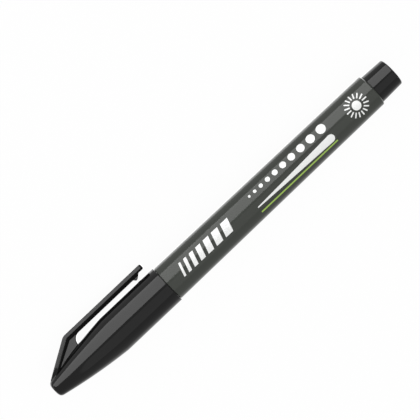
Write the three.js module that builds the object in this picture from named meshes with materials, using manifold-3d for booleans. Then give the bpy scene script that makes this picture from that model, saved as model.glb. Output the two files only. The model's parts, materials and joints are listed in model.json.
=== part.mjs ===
// Permanent marker with a bullet nib, closed by its pull-off cap and lying on a table.
// Millimetres, +Z up. The pieces are drawn along the marker's own axis, which is X until the
// last lines lay the marker down: x = 0 is the barrel's front face, the nose is at negative x,
// the end plug at the far positive end, and the clip stands out towards +Y. The cap and its
// inner cap are drawn from the cap's closed nose, in a group of their own.

import * as THREE from "three";
import { mergeVertices } from "three/addons/utils/BufferGeometryUtils.js";
import Module from "manifold-3d";

// Clearances
const pressClearance = 0.05; // left around a press fit
const seatClearance = 0.1; // between faces that butt together
const slideClearance = 0.1; // between the cap's bore and the snap bead
const sealClearance = 0.06; // between the inner cap's lip and the seal land
const capGap = 0.1; // from the cap's mouth to the barrel's front face

// Barrel: a drafted tube, with ribs inside that centre the ink reservoir
const barrelLength = 84.05;
const barrelFrontRadius = 6.03;
const barrelRearRadius = 5.53;
const barrelWall = 0.95;
const barrelFrontRound = 0.2;
const barrelChamferLength = 0.4;
const barrelChamferDepth = 0.5;
const ribCount = 4;
const ribWidth = 0.8;
const ribEndInset = 2; // from the spigots at either end of the barrel

// Nose section: the slimmer part that the cap slides over, with the nib's holder in front
const sectionLength = 20.65;
const sectionRearRadius = 5.4;
const sectionFrontRadius = 5.07;
const sectionWall = 1.05;
const spigotLength = 8;
const recessWidth = 0.3;
const recessDepth = 0.25;
const snapBeadDistance = 3.15; // from the barrel's face to the bead's middle
const snapBeadWidth = 0.85;
const snapBeadHeight = 0.12;
const snapGrooveWidth = 0.3;
const snapGrooveDepth = 0.1;
const shoulderLength = 0.35;
const sealLandRadius = 4.55;
const sealLandLength = 0.98;
const sealLandStep = 0.17;
const coneLength = 6.22;
const holderLength = 5.85;
const holderWall = 0.42;
const holderChamfer = 0.3;
const chamberEndWall = 1.4; // from the reservoir's chamber to the section's shoulder
const ventCount = 3;
const ventWidth = 0.7;
const ventDepth = 0.2;

// Nib: one rod of bonded fibre, with a bullet point and a tail that enters the reservoir
const nibRadius = 2.6;
const nibPointLength = 5.4;
const nibTailReach = 7.5; // into the reservoir
const nibTailTaper = 3;
const nibTailRadius = 1.1;

// Ink reservoir: a rod of fibre in a thin film
const filmThickness = 0.12;
const filmClearance = 0.03;
const filmInset = 0.5; // from the rod's ends

// End plug: a cup with crossed fins, pressed into the back of the barrel
const plugLength = 8;
const plugStep = 0.07; // from the foot of the barrel's chamfer in to the plug's side
const plugDraft = 0.28;
const plugEdgeRound = 0.55;
const plugSpigotLength = 7;
const plugWall = 0.95;
const plugEndWall = 1.4;
const plugFinWidth = 0.8;
const plugLeadIn = 0.4;

// Cap: a slim shell, straight over the section and tapered in a shallow curve to its nose
const capWall = 0.84;
const capTaperWall = 1.13;
const capNoseWall = 2.09;
const capNoseRadius = 2.9; // behind the nose's rounded corner
const capNoseCorner = 1.3;
const capNoseDome = 0.14;
const capTipSpace = 4.2; // left inside, ahead of the nib
const capMouthRound = 0.2;
const capLeadIn = 0.25;
const capSnapGroove = 0.12; // ring cut in the bore where the snap bead rests

// Inner cap: a soft cup pressed into the cap, whose lip seals on the nose
const innerCapWall = 0.5;
const innerCapEndWall = 0.6;
const innerCapClearance = 0.22; // around the front of the nib's holder
const innerCapLipStep = 0.25;

// Clip: a flanged beam moulded with the cap, with a web at its root and a bead near its end
const clipGap = 1.3; // from the cap's straight wall to the beam's underside
const clipDepth = 2.26;
const clipEdgeHeight = 1.09;
const clipEdgeBevel = 0.2;
const clipEdgeLean = 0.1; // the edges draw in by this towards the outer face
const clipWidth = 4;
const clipRootWidth = 2.2;
const clipWebWidth = 2.08;
const clipWebDraft = THREE.MathUtils.degToRad(5); // on each side, thicker towards the cap
const clipSlope = THREE.MathUtils.degToRad(31);
const clipBendRadius = 3; // of the outer face, where the slope meets the straight part
const clipStart = 1.15; // from the cap's nose
const clipWideningLength = 4; // from the nose to where the beam is full width
const clipEndInset = 1.9; // from the cap's mouth
const clipTipLength = 2.1; // the thinner stretch past the bead
const clipTipDepth = 1.72;
const clipTipRound = 0.45;
const clipTipCorner = 0.9;
const slotInset = 1.7; // from the clip's corner to the front of the slot under it
const slotRadius = 2.65;
const clipBeadGap = 0.3; // from the cap's wall to the bead's point, before it is rounded
const clipBeadFront = 0.9; // the bead's short front slope, along the clip
const clipBeadRear = 1.8;
const clipBeadStraight = 0.5; // share of each slope, before the rounded point

// Smoothness of the round surfaces
const roundSides = 48;
const arcSteps = 4;
const taperSteps = 8;
const weldDistance = 1e-4;

const { lerp } = THREE.MathUtils;
const wasm = await Module();
wasm.setup();

// A closed mesh as a solid that can be joined and cut
function solidOf(geometry) {
  const bare = geometry.clone();
  bare.deleteAttribute("normal");
  bare.deleteAttribute("uv");
  const welded = mergeVertices(bare, weldDistance);
  return new wasm.Manifold(
    new wasm.Mesh({
      numProp: 3,
      vertProperties: welded.attributes.position.array,
      triVerts: new Uint32Array(welded.index.array),
    }),
  );
}

function geometryOf(solid) {
  const { vertProperties, triVerts } = solid.getMesh();
  const geometry = new THREE.BufferGeometry();
  geometry.setAttribute("position", new THREE.BufferAttribute(vertProperties, 3));
  geometry.setIndex(new THREE.BufferAttribute(triVerts, 1));
  geometry.computeVertexNormals();
  return geometry;
}

// A turned solid, from an outline drawn as distance along the axis and radius
function turned(outline, steps = arcSteps) {
  const points = outline.getPoints(steps);
  const last = points.at(-1);
  if (points[0].y > 0 && !points[0].equals(last)) points.push(points[0].clone());
  if (THREE.ShapeUtils.area(points) > 0) points.reverse();
  const profile = points.map((p) => new THREE.Vector2(p.y, p.x));
  return new THREE.LatheGeometry(profile, roundSides).rotateZ(-Math.PI / 2);
}

// A plate of even thickness about the plane z = 0, from an outline in x and y
function plate(shape, thickness) {
  const options = { depth: thickness, bevelEnabled: false, curveSegments: 2 * arcSteps };
  return new THREE.ExtrudeGeometry(shape, options).translate(0, 0, -thickness / 2);
}

// A solid skinned over convex rings of points, with a flat face at each end
function lofted(rings) {
  const sides = rings[0].length;
  const lastRing = (rings.length - 1) * sides;
  const indices = [];
  for (let ring = 0; ring < lastRing; ring += sides) {
    for (let i = 0; i < sides; i++) {
      const a = ring + i;
      const b = ring + ((i + 1) % sides);
      indices.push(a, b, a + sides, b, b + sides, a + sides);
    }
  }
  for (let i = 1; i + 1 < sides; i++) {
    indices.push(0, i + 1, i, lastRing, lastRing + i, lastRing + i + 1);
  }
  return new THREE.BufferGeometry().setFromPoints(rings.flat()).setIndex(indices);
}

// A bar along the axis, turned about it by an angle. Each end is [x, inner, outer radius].
function bar(start, end, width, angle) {
  const ring = ([x, inner, outer]) => [
    new THREE.Vector3(x, inner, width / 2),
    new THREE.Vector3(x, inner, -width / 2),
    new THREE.Vector3(x, outer, -width / 2),
    new THREE.Vector3(x, outer, width / 2),
  ];
  return lofted([ring(start), ring(end)]).rotateX(angle);
}

// Equal angles about the axis
const around = (count) => Array.from({ length: count }, (_, i) => (i * 2 * Math.PI) / count);

// The barrel's outside and bore, both drafted
const barrelRadiusAt = (x) => lerp(barrelFrontRadius, barrelRearRadius, x / barrelLength);
const boreRadiusAt = (x) => barrelRadiusAt(x) - barrelWall;

// The nose from the barrel's face forward, and what lies inside it
const shoulderX = -sectionLength;
const landX = shoulderX - shoulderLength;
const coneX = landX - sealLandLength;
const holderX = coneX - coneLength;
const holderFrontX = holderX - holderLength;
const nibTipX = holderFrontX - nibPointLength;
const nibBoreRadius = nibRadius + pressClearance;
const holderRadius = nibBoreRadius + holderWall;
const chamberX = shoulderX + chamberEndWall;
const chamberRadius = sectionFrontRadius - sectionWall;
const sectionRadiusAt = (x) => lerp(sectionRearRadius, sectionFrontRadius, x / shoulderX);
const snapBeadRadius = sectionRadiusAt(-snapBeadDistance) + snapBeadHeight;

// The reservoir, from the chamber's end to the end plug's spigot
const plugSpigotX = barrelLength - plugSpigotLength;
const reservoirX = chamberX + seatClearance;
const reservoirEndX = plugSpigotX - seatClearance;
const filmRadius = chamberRadius - pressClearance;
const reservoirRadius = filmRadius - filmThickness - filmClearance;
const nibTailX = reservoirX + nibTailReach;

// The cap, drawn from its own nose. Its taper ends over the front of the seal land, and
// bulges so that its wall and the inner cap's clear the nib's holder.
const capNoseX = nibTipX - capTipSpace - innerCapEndWall - seatClearance - capNoseWall;
const capLength = -capGap - capNoseX;
const capBore = snapBeadRadius + slideClearance;
const capRadius = capBore + capWall;
const taperEnd = coneX - capNoseX;
const taperMiddle = (capNoseCorner + taperEnd) / 2;
const radiusOverHolder =
  holderRadius + innerCapClearance + innerCapWall + pressClearance + capTaperWall;
const holderShare = (holderFrontX - capNoseX - capNoseCorner) / (taperEnd - capNoseCorner);
const taperBulge =
  (radiusOverHolder - lerp(capNoseRadius, capRadius, holderShare)) /
  (4 * holderShare * (1 - holderShare));
const capRadiusAt = (x) => {
  const share = (x - capNoseCorner) / (taperEnd - capNoseCorner);
  return lerp(capNoseRadius, capRadius, share) + 4 * taperBulge * share * (1 - share);
};

// Draws the taper, moved inwards, from a distance behind the nose to the taper's end
function drawTaper(outline, from, inset) {
  const middle = (from + taperEnd) / 2;
  const chord = (capRadiusAt(from) + capRadiusAt(taperEnd)) / 2;
  const control = 2 * capRadiusAt(middle) - chord - inset;
  outline.quadraticCurveTo(middle, control, taperEnd, capRadiusAt(taperEnd) - inset);
}

function barrel() {
  const chamferX = barrelLength - barrelChamferLength;
  const outline = new THREE.Path();
  outline.moveTo(0, boreRadiusAt(0));
  outline.lineTo(0, barrelFrontRadius - barrelFrontRound);
  outline.quadraticCurveTo(0, barrelFrontRadius, barrelFrontRound, barrelRadiusAt(barrelFrontRound));
  outline.lineTo(chamferX, barrelRadiusAt(chamferX));
  outline.lineTo(barrelLength, barrelRearRadius - barrelChamferDepth);
  outline.lineTo(barrelLength, boreRadiusAt(barrelLength));
  const ribFoot = (x) => [x, filmRadius + seatClearance, boreRadiusAt(x) + barrelWall / 2];
  const ribStart = ribFoot(spigotLength + ribEndInset);
  const ribEnd = ribFoot(plugSpigotX - ribEndInset);
  return around(ribCount).reduce(
    (solid, angle) => solid.add(solidOf(bar(ribStart, ribEnd, ribWidth, angle))),
    solidOf(turned(outline)),
  );
}

// The snap bead stands between two fine grooves, and a wider recess parts section and barrel
function drawSectionSide(outline) {
  const recessX = -seatClearance - recessWidth;
  const beadX = -snapBeadDistance;
  const rearX = beadX + snapBeadWidth / 2;
  const frontX = beadX - snapBeadWidth / 2;
  outline.lineTo(-seatClearance, sectionRearRadius - recessDepth);
  outline.lineTo(recessX, sectionRearRadius - recessDepth);
  outline.lineTo(recessX, sectionRadiusAt(recessX));
  outline.lineTo(rearX + snapGrooveWidth, sectionRadiusAt(rearX + snapGrooveWidth));
  outline.lineTo(rearX, sectionRadiusAt(rearX) - snapGrooveDepth);
  outline.quadraticCurveTo(rearX, snapBeadRadius, beadX, snapBeadRadius);
  outline.quadraticCurveTo(frontX, snapBeadRadius, frontX, sectionRadiusAt(frontX) - snapGrooveDepth);
  outline.lineTo(frontX - snapGrooveWidth, sectionRadiusAt(frontX - snapGrooveWidth));
  outline.lineTo(shoulderX, sectionFrontRadius);
}

function noseSection() {
  const outline = new THREE.Path();
  outline.moveTo(spigotLength, chamberRadius);
  outline.lineTo(spigotLength, boreRadiusAt(spigotLength) - pressClearance);
  outline.lineTo(-seatClearance, boreRadiusAt(0) - pressClearance);
  drawSectionSide(outline);
  outline.lineTo(landX, sealLandRadius);
  outline.lineTo(coneX, sealLandRadius);
  outline.lineTo(coneX, sealLandRadius - sealLandStep);
  outline.lineTo(holderX, holderRadius);
  outline.lineTo(holderFrontX + holderChamfer, holderRadius);
  outline.lineTo(holderFrontX, holderRadius - holderChamfer);
  outline.lineTo(holderFrontX, nibBoreRadius);
  outline.lineTo(chamberX, nibBoreRadius);
  outline.lineTo(chamberX, chamberRadius);
  const ventEnd = (x) => [x, 0, nibBoreRadius + ventDepth];
  const ventStart = ventEnd(holderFrontX - ventWidth);
  const ventStop = ventEnd(chamberX + ventWidth);
  return around(ventCount).reduce(
    (solid, angle) => solid.subtract(solidOf(bar(ventStart, ventStop, ventWidth, angle))),
    solidOf(turned(outline)),
  );
}

// The bullet point is an arc that leaves the rod's side without a corner
function nib() {
  const arcRadius = (nibRadius ** 2 + nibPointLength ** 2) / (2 * nibRadius);
  const arcHeight = nibRadius - arcRadius;
  const tipAngle = Math.atan2(-arcHeight, -nibPointLength);
  const outline = new THREE.Path();
  outline.moveTo(nibTipX, 0);
  outline.absarc(holderFrontX, arcHeight, arcRadius, tipAngle, Math.PI / 2, true);
  outline.lineTo(nibTailX - nibTailTaper, nibRadius);
  outline.lineTo(nibTailX, nibTailRadius);
  outline.lineTo(nibTailX, 0);
  return solidOf(turned(outline));
}

// The rod of fibre, with the socket that the nib's tail presses into its front end
function inkReservoir() {
  const socketRadius = nibRadius + pressClearance;
  const outline = new THREE.Path();
  outline.moveTo(nibTailX + seatClearance, 0);
  outline.lineTo(nibTailX + seatClearance, nibTailRadius + pressClearance);
  outline.lineTo(nibTailX + seatClearance - nibTailTaper, socketRadius);
  outline.lineTo(reservoirX, socketRadius);
  outline.lineTo(reservoirX, reservoirRadius);
  outline.lineTo(reservoirEndX, reservoirRadius);
  outline.lineTo(reservoirEndX, 0);
  return solidOf(turned(outline));
}

function reservoirFilm() {
  const outline = new THREE.Path();
  outline.moveTo(reservoirX + filmInset, reservoirRadius + filmClearance);
  outline.lineTo(reservoirX + filmInset, filmRadius);
  outline.lineTo(reservoirEndX - filmInset, filmRadius);
  outline.lineTo(reservoirEndX - filmInset, reservoirRadius + filmClearance);
  return solidOf(turned(outline));
}

function endPlug() {
  const flangeX = barrelLength + seatClearance;
  const endX = barrelLength + plugLength;
  const frontRadius = barrelRearRadius - barrelChamferDepth - plugStep;
  const rearRadius = frontRadius - plugDraft;
  const spigotRadius = boreRadiusAt(barrelLength) - pressClearance;
  const cupRadius = spigotRadius - plugWall;
  const cupX = endX - plugEndWall;
  const outline = new THREE.Path();
  outline.moveTo(endX, 0);
  outline.lineTo(endX, rearRadius - plugEdgeRound);
  outline.quadraticCurveTo(endX, rearRadius, endX - plugEdgeRound, rearRadius);
  outline.lineTo(flangeX, frontRadius);
  outline.lineTo(flangeX, spigotRadius);
  outline.lineTo(plugSpigotX + plugLeadIn, spigotRadius);
  outline.lineTo(plugSpigotX, spigotRadius - plugLeadIn);
  outline.lineTo(plugSpigotX, cupRadius);
  outline.lineTo(cupX, cupRadius);
  outline.lineTo(cupX, 0);
  const finRoot = cupRadius + plugWall / 4;
  const finStart = [plugSpigotX, -finRoot, finRoot];
  const finEnd = [cupX + plugEndWall / 2, -finRoot, finRoot];
  return [0, Math.PI / 2].reduce(
    (solid, angle) => solid.add(solidOf(bar(finStart, finEnd, plugFinWidth, angle))),
    solidOf(turned(outline)),
  );
}

// The clip's outer face runs up a slope from the nose to a corner, then along the cap
const clipHeight = capRadius + clipGap + clipDepth;
const clipEnd = capLength - clipEndInset;
const clipTipStart = clipEnd - clipTipLength;
const clipRoot = new THREE.Vector3(clipStart, capRadiusAt(clipStart), 0);
const clipCornerX = clipStart + (clipHeight - clipRoot.y) / Math.tan(clipSlope);
const clipCorner = new THREE.Vector3(clipCornerX, clipHeight, 0);
const inwardAt = (slope) => new THREE.Vector3(Math.sin(slope), -Math.cos(slope), 0);
const inwardOnSlope = inwardAt(clipSlope);
const inwardOnTop = inwardAt(0);
const inwardAtCorner = new THREE.Vector3(Math.tan(clipSlope / 2), -1, 0);
const clipBendCentre = clipCorner.clone().addScaledVector(inwardAtCorner, clipBendRadius);

// The beam's cross-section: a flange with bevelled edges, its underside sloped in to the web
function clipRing(point, inward, halfWidth, depth, inset = 0) {
  const webShare = (depth - clipEdgeHeight) / (clipDepth - clipEdgeHeight);
  const half = [
    [halfWidth - clipEdgeLean - clipEdgeBevel, inset],
    [halfWidth - clipEdgeLean, inset + clipEdgeBevel],
    [halfWidth, clipEdgeHeight - inset / 2],
    [lerp(halfWidth, clipWebWidth / 2, webShare), depth - inset],
  ];
  const mirrored = half.map(([z, down]) => [-z, down]).reverse();
  return [...half, ...mirrored].map(([z, down]) =>
    point.clone().addScaledVector(inward, down).setZ(z),
  );
}

function clipBeam() {
  const halfWidth = clipWidth / 2;
  const wide = clipRoot.clone().lerp(clipCorner, clipWideningLength / clipCornerX);
  const onTop = (x) => new THREE.Vector3(x, clipHeight, 0);
  const rings = [
    clipRing(clipRoot, inwardOnSlope, clipRootWidth / 2, clipDepth),
    clipRing(wide, inwardOnSlope, halfWidth, clipDepth),
  ];
  for (let step = 0; step <= arcSteps; step++) {
    const inward = inwardAt(clipSlope * (1 - step / arcSteps));
    const onBend = clipBendCentre.clone().addScaledVector(inward, -clipBendRadius);
    rings.push(clipRing(onBend, inward, halfWidth, clipDepth));
  }
  rings.push(clipRing(onTop(clipTipStart - clipBeadRear / 2), inwardOnTop, halfWidth, clipDepth));
  rings.push(clipRing(onTop(clipTipStart), inwardOnTop, halfWidth, clipTipDepth));
  for (let step = 0; step <= arcSteps; step++) {
    const angle = (step / arcSteps) * (Math.PI / 2);
    const back = clipTipCorner * (1 - Math.sin(angle));
    const roundShare = Math.max(0, 1 - back / clipTipRound);
    const inset = clipTipRound * (1 - Math.sqrt(1 - roundShare ** 2));
    const narrowed = halfWidth - clipTipCorner * (1 - Math.cos(angle));
    rings.push(clipRing(onTop(clipEnd - back), inwardOnTop, narrowed, clipTipDepth, inset));
  }
  return lofted(rings);
}

// Thickens a plate towards the cap, from its even width at the beam's underside
function drafted(geometry) {
  const points = geometry.attributes.position;
  for (let i = 0; i < points.count; i++) {
    const below = clipHeight - clipDepth - points.getY(i);
    points.setZ(i, points.getZ(i) + Math.sign(points.getZ(i)) * below * Math.tan(clipWebDraft));
  }
  return geometry;
}

// The web joins the beam's slope to the cap, as far as the rounded front of the slot
function clipWeb() {
  const buried = clipEdgeHeight / 2;
  const top = clipRoot.clone().addScaledVector(inwardOnSlope, buried);
  const corner = clipCorner.clone().addScaledVector(inwardAtCorner, buried);
  const slotX = clipCornerX + slotInset;
  const slotTop = clipHeight - clipDepth;
  const shape = new THREE.Shape();
  shape.moveTo(top.x, 0);
  shape.lineTo(slotX, 0);
  shape.lineTo(slotX, slotTop - slotRadius);
  shape.absarc(slotX + slotRadius, slotTop - slotRadius, slotRadius, Math.PI, Math.PI / 2, true);
  shape.lineTo(slotX + slotRadius, clipHeight - buried);
  shape.lineTo(corner.x, corner.y);
  shape.lineTo(top.x, top.y);
  return drafted(plate(shape, clipWebWidth));
}

function clipBead() {
  const pointX = clipTipStart - clipBeadRear;
  const frontX = pointX - clipBeadFront;
  const pointY = capRadius + clipBeadGap;
  const under = clipHeight - clipDepth;
  const tipUnder = clipHeight - clipTipDepth;
  const buried = clipHeight - clipEdgeHeight;
  const shape = new THREE.Shape();
  shape.moveTo(frontX, buried);
  shape.lineTo(frontX, under);
  shape.lineTo(lerp(frontX, pointX, clipBeadStraight), lerp(under, pointY, clipBeadStraight));
  shape.quadraticCurveTo(
    pointX,
    pointY,
    lerp(clipTipStart, pointX, clipBeadStraight),
    lerp(tipUnder, pointY, clipBeadStraight),
  );
  shape.lineTo(clipTipStart, tipUnder);
  shape.lineTo(clipTipStart, buried);
  return drafted(plate(shape, clipWebWidth));
}

function capShell() {
  const outline = new THREE.Path();
  outline.moveTo(0, 0);
  outline.lineTo(capNoseDome, capNoseRadius - capNoseCorner);
  outline.quadraticCurveTo(capNoseDome, capRadiusAt(0), capNoseCorner, capNoseRadius);
  drawTaper(outline, capNoseCorner, 0);
  outline.lineTo(capLength - capMouthRound, capRadius);
  outline.quadraticCurveTo(capLength, capRadius, capLength, capRadius - capMouthRound);
  outline.lineTo(capLength, 0);
  return turned(outline, taperSteps);
}

// The cap's inside, open at the mouth, with a lead-in and a ring for the snap bead
function capCavity() {
  const beadX = -snapBeadDistance - capNoseX;
  const ringStart = beadX - snapBeadWidth;
  const ringEnd = beadX + snapBeadWidth;
  const outline = new THREE.Path();
  outline.moveTo(capNoseWall, 0);
  outline.lineTo(capNoseWall, capRadiusAt(capNoseWall) - capTaperWall);
  drawTaper(outline, capNoseWall, capTaperWall);
  outline.lineTo(taperEnd, capBore);
  outline.lineTo(ringStart, capBore);
  outline.quadraticCurveTo(beadX, capBore + 2 * capSnapGroove, ringEnd, capBore);
  outline.lineTo(capLength - capLeadIn, capBore);
  outline.lineTo(capLength, capBore + capLeadIn);
  outline.lineTo(capLength + capLeadIn, capBore + capLeadIn);
  outline.lineTo(capLength + capLeadIn, 0);
  return turned(outline, taperSteps);
}

function cap() {
  return [clipBeam(), clipWeb(), clipBead()]
    .reduce((solid, piece) => solid.add(solidOf(piece)), solidOf(capShell()))
    .subtract(solidOf(capCavity()));
}

function innerCap() {
  const start = capNoseWall + seatClearance;
  const floor = start + innerCapEndWall;
  const end = landX - seatClearance - capNoseX;
  const outerInset = capTaperWall + pressClearance;
  const innerInset = outerInset + innerCapWall;
  const lipRadius = sealLandRadius + sealClearance;
  const outline = new THREE.Path();
  outline.moveTo(start, 0);
  outline.lineTo(start, capRadiusAt(start) - outerInset);
  drawTaper(outline, start, outerInset);
  outline.lineTo(end, capRadius - outerInset);
  outline.lineTo(end, lipRadius + innerCapLipStep);
  outline.lineTo(end - innerCapLipStep, lipRadius);
  outline.lineTo(taperEnd, lipRadius);
  outline.lineTo(taperEnd - innerCapLipStep, capRadiusAt(taperEnd) - innerInset);
  const inside = new THREE.Path();
  inside.moveTo(floor, capRadiusAt(floor) - innerInset);
  drawTaper(inside, floor, innerInset);
  for (const p of inside.getPoints(taperSteps).slice(0, -1).reverse()) outline.lineTo(p.x, p.y);
  outline.lineTo(floor, 0);
  return solidOf(turned(outline, taperSteps));
}

// Finishes
const finish = (color, roughness) =>
  new THREE.MeshStandardMaterial({ color, roughness, metalness: 0 });
const greyPlastic = finish(0x484b47, 0.35);
const blackPlastic = finish(0x242425, 0.22);
const softPlastic = finish(0xd9d9d2, 0.5);
const inkedFibre = finish(0x241816, 0.9);
const clearFilm = finish(0xb9bcbd, 0.3);

function piece(name, solid, material) {
  const mesh = new THREE.Mesh(geometryOf(solid), material);
  mesh.name = name;
  return mesh;
}

const penGroup = new THREE.Group();
penGroup.add(
  piece("barrel", barrel(), greyPlastic),
  piece("nose_section", noseSection(), greyPlastic),
  piece("nib", nib(), inkedFibre),
  piece("ink_reservoir", inkReservoir(), inkedFibre),
  piece("reservoir_film", reservoirFilm(), clearFilm),
  piece("end_plug", endPlug(), blackPlastic),
);

const capGroup = new THREE.Group();
capGroup.position.x = capNoseX;
capGroup.add(piece("cap", cap(), blackPlastic), piece("inner_cap", innerCap(), softPlastic));

// Lying down, the marker rests on the cap's mouth and the barrel's rear edge, and it has rolled
// until the lower edge of the clip's free end touches the table.
const mouthContactX = -capGap - capMouthRound;
const rearContactX = barrelLength - barrelChamferLength;
const contactDrop = capRadius - barrelRadiusAt(rearContactX);
const restSlope = Math.atan(contactDrop / (rearContactX - mouthContactX));
const clipContactX = capNoseX + clipEnd - clipTipCorner;
const tableDepth = capRadius + (mouthContactX - clipContactX) * Math.tan(restSlope);
const edgeHeight = clipHeight - clipEdgeBevel;
const edgeHalfWidth = clipWidth / 2 - clipEdgeLean;
const edgeReach = Math.hypot(edgeHeight, edgeHalfWidth);
const restRoll = Math.asin(tableDepth / edgeReach) - Math.atan2(edgeHalfWidth, edgeHeight);

const rolled = new THREE.Group();
rolled.rotation.x = -restRoll;
rolled.add(penGroup, capGroup);

const laid = new THREE.Group();
laid.rotation.y = restSlope;
laid.add(rolled);

// The origin is under the middle of the whole marker, on the table
const marker = new THREE.Group();
marker.add(laid);
const box = new THREE.Box3().setFromObject(marker, true);
const middle = box.getCenter(new THREE.Vector3());
laid.position.set(-middle.x, -middle.y, -box.min.z);

export default marker;
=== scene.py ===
# A permanent marker with a bullet nib, closed by its cap and lying on a table.
import json
import math

import bmesh
import bpy
from mathutils import Matrix, Vector


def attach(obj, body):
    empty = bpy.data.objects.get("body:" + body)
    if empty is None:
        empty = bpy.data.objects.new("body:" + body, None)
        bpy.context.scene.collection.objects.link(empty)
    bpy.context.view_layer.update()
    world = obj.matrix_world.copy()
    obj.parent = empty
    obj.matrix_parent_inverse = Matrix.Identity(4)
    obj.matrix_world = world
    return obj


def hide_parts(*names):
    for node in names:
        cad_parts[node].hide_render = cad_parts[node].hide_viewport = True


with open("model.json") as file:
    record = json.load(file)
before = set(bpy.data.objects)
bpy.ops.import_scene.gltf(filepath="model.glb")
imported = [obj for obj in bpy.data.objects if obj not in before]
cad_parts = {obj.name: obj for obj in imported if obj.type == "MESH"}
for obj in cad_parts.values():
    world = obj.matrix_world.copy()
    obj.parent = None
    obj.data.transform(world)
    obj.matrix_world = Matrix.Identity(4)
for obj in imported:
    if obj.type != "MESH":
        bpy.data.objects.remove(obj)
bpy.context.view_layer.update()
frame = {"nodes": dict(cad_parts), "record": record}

# How the marker lies, and the camera. The marker's own frame has x along its axis from the
# barrel's front face, the nose at negative x, y towards the clip's outer face and z across.
# The camera looks square at the clip's side, from over half a metre away, through a long lens.
MM = 0.001
BARREL_LENGTH = 84.05
PLUG_LENGTH = 8.0
CAMERA_PLACE = Vector((22.55, 11.15, 567))
CAMERA_AIM = Vector((24.23, 7.21, 0))
MARKER_ANGLE = math.radians(43.43)
LENS = 162.9
SENSOR = 36.0

mounts = {mount["name"]: mount for mount in frame["record"]["mounts"]}
along = Vector(mounts["plug_end"]["axis"])
clipward = Vector(mounts["clip_face"]["axis"])
turn = Matrix((along, clipward, along.cross(clipward))).transposed()
barrel_face = Vector(mounts["plug_end"]["pos_m"]) - along * (BARREL_LENGTH + PLUG_LENGTH) * MM
lying = Matrix.Translation(barrel_face) @ turn.to_4x4()


def in_frame(point):
    """A point of the marker's own frame, in millimetres, as a point of the model's frame."""
    return lying @ (Vector(point) * MM)


def facing(place, right, back):
    """The matrix of a camera or lamp at a place, from where its right and its back point."""
    sides = Matrix((right, back.cross(right), back)).transposed()
    return Matrix.Translation(place) @ sides.to_4x4()


camera_data = bpy.data.cameras.new("camera")
camera_data.lens = LENS
camera_data.sensor_width = SENSOR
camera = bpy.data.objects.new("camera", camera_data)
bpy.context.scene.collection.objects.link(camera)
bpy.context.scene.camera = camera
back = (in_frame(CAMERA_PLACE) - in_frame(CAMERA_AIM)).normalized()
marker_in_picture = (along - back * along.dot(back)).normalized()
beside = back.cross(marker_in_picture)
right = marker_in_picture * math.cos(MARKER_ANGLE) - beside * math.sin(MARKER_ANGLE)
camera.matrix_world = facing(in_frame(CAMERA_PLACE), right, back)

# Barrel: a drafted tube of grey-green polypropylene, moulded in one shot. Its front edge is
# rounded, its back edge chamfered, and four ribs inside centre the ink reservoir.
BARREL_FRONT_RADIUS = 6.03
BARREL_REAR_RADIUS = 5.53
BARREL_WALL = 0.95
BARREL_FRONT_ROUND = 0.2
BARREL_CHAMFER_LENGTH = 0.4
BARREL_CHAMFER_DEPTH = 0.5
BARREL_SOFT_EDGE = 0.12
RIB_COUNT = 4
RIB_WIDTH = 0.8
RIB_START = 10.0
RIB_END = 75.05
RIB_INNER_RADIUS = 4.07
TURNED_SIDES = 192
ARC_STEPS = 6
ARC_ROOM = 0.45
SUPPORT_DISTANCE = 0.12
SUPPORT_ROOM = 0.2
MERGE_DISTANCE = 1e-5
ON_AXIS = 1e-6
AXIS_RADIUS = 1e-7
SMOOTH_BELOW = math.radians(26)
GREY_GREEN = (0.0438, 0.048, 0.0414, 1)
GREY_GREEN_PALE = (0.0598, 0.065, 0.0572, 1)
SKIN_DEPTH = 0.0000015
FLOW_STRETCH = (0.05, 0.55, 0.55)
PEEL_STRETCH = (3.2, 4.5, 4.5)
HAIRLINE_STRETCH = (0.16, 9.0, 9.0)
HAIRLINE_LEANS = (0.35, -0.5)
HAIRLINE_EDGE = (0.70, 0.74)
WORN_POINTINESS = (0.53, 0.62)
WORN_STRETCH = (0.9, 0.9, 0.9)
TONE_DRIFT = 0.3
PLASTIC_IOR = 1.3


def lerp(a, b, share):
    return a + (b - a) * share


def barrel_radius(x):
    return lerp(BARREL_FRONT_RADIUS, BARREL_REAR_RADIUS, x / BARREL_LENGTH)


def bore_radius(x):
    return barrel_radius(x) - BARREL_WALL


def corner_arc(before, here, after, rounding):
    """The arc that rounds a corner, or the corner itself."""
    if rounding == 0:
        return [here]
    back = (before - here).normalized()
    on = (after - here).normalized()
    half_angle = back.angle(on) / 2
    room = ARC_ROOM * min((before - here).length, (after - here).length)
    reach = min(rounding / math.tan(half_angle), room)
    centre = here + (back + on).normalized() * (reach / math.cos(half_angle))
    spoke = here + back * reach - centre
    sweep = spoke.angle_signed(here + on * reach - centre)
    turns = [Matrix.Rotation(-sweep * step / ARC_STEPS, 2) for step in range(ARC_STEPS + 1)]
    return [centre + turn @ spoke for turn in turns]


def softened(corners, closed=True):
    """The outline through corners (a, b, rounding), each rounded to an arc. Two points near
    the ends of each straight stretch keep its shading flat."""
    points = [Vector(corner[:2]) for corner in corners]
    arcs = []
    for i, (a, b, rounding) in enumerate(corners):
        if not closed and i in (0, len(corners) - 1):
            rounding = 0
        after = points[(i + 1) % len(points)]
        arcs.append(corner_arc(points[i - 1], points[i], after, rounding))
    outline = []
    for i, arc in enumerate(arcs):
        outline += arc
        if closed or i < len(arcs) - 1:
            leap = arcs[(i + 1) % len(arcs)][0] - arc[-1]
            near = min(SUPPORT_DISTANCE / leap.length, SUPPORT_ROOM)
            outline += [arc[-1] + near * leap, arc[-1] + (1 - near) * leap]
    return outline


def quadratic(start, control, end, steps):
    """Points of a quadratic curve, without its first."""
    points = []
    for step in range(1, steps + 1):
        share = step / steps
        first = Vector(start).lerp(Vector(control), share)
        points.append(first.lerp(Vector(control).lerp(Vector(end), share), share))
    return points


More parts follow.
